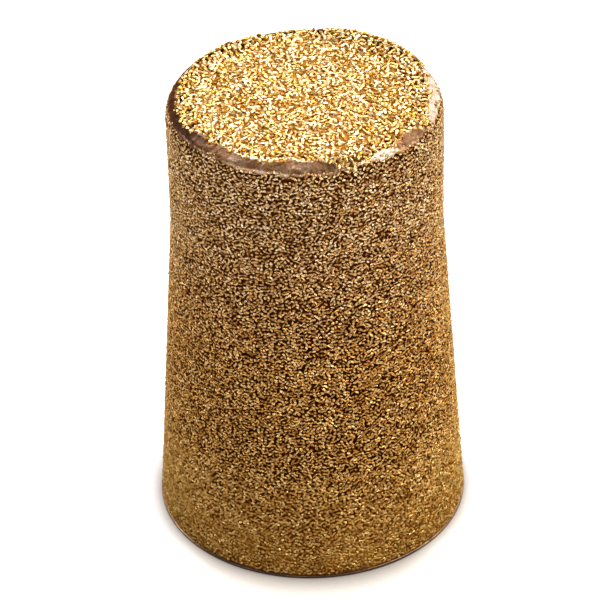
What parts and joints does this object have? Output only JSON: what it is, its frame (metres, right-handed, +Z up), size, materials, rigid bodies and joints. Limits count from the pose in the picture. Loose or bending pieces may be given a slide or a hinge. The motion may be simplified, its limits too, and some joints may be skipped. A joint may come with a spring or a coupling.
{
  "type": "sintered bronze filter",
  "caption": "Conical porous bronze filter cup, closed at the narrow end with a smooth rim band, with an open flat seat and a blind tapered bore.",
  "frame": {"origin": "centre of the flat seat at the open, wide end", "axes": "+Z up the axis from the open seat to the closed end; the cup is round, so X and Y are free"},
  "size_m": [0.0128, 0.0128, 0.0191],
  "materials": {
    "sintered_bronze": "coarse bonded bronze powder, open pored and glinting, with a smooth burnished coppery band round the closed end"
  },
  "bodies": {
    "root": {"filter_cup": "sintered_bronze"}
  },
  "joints": []
}
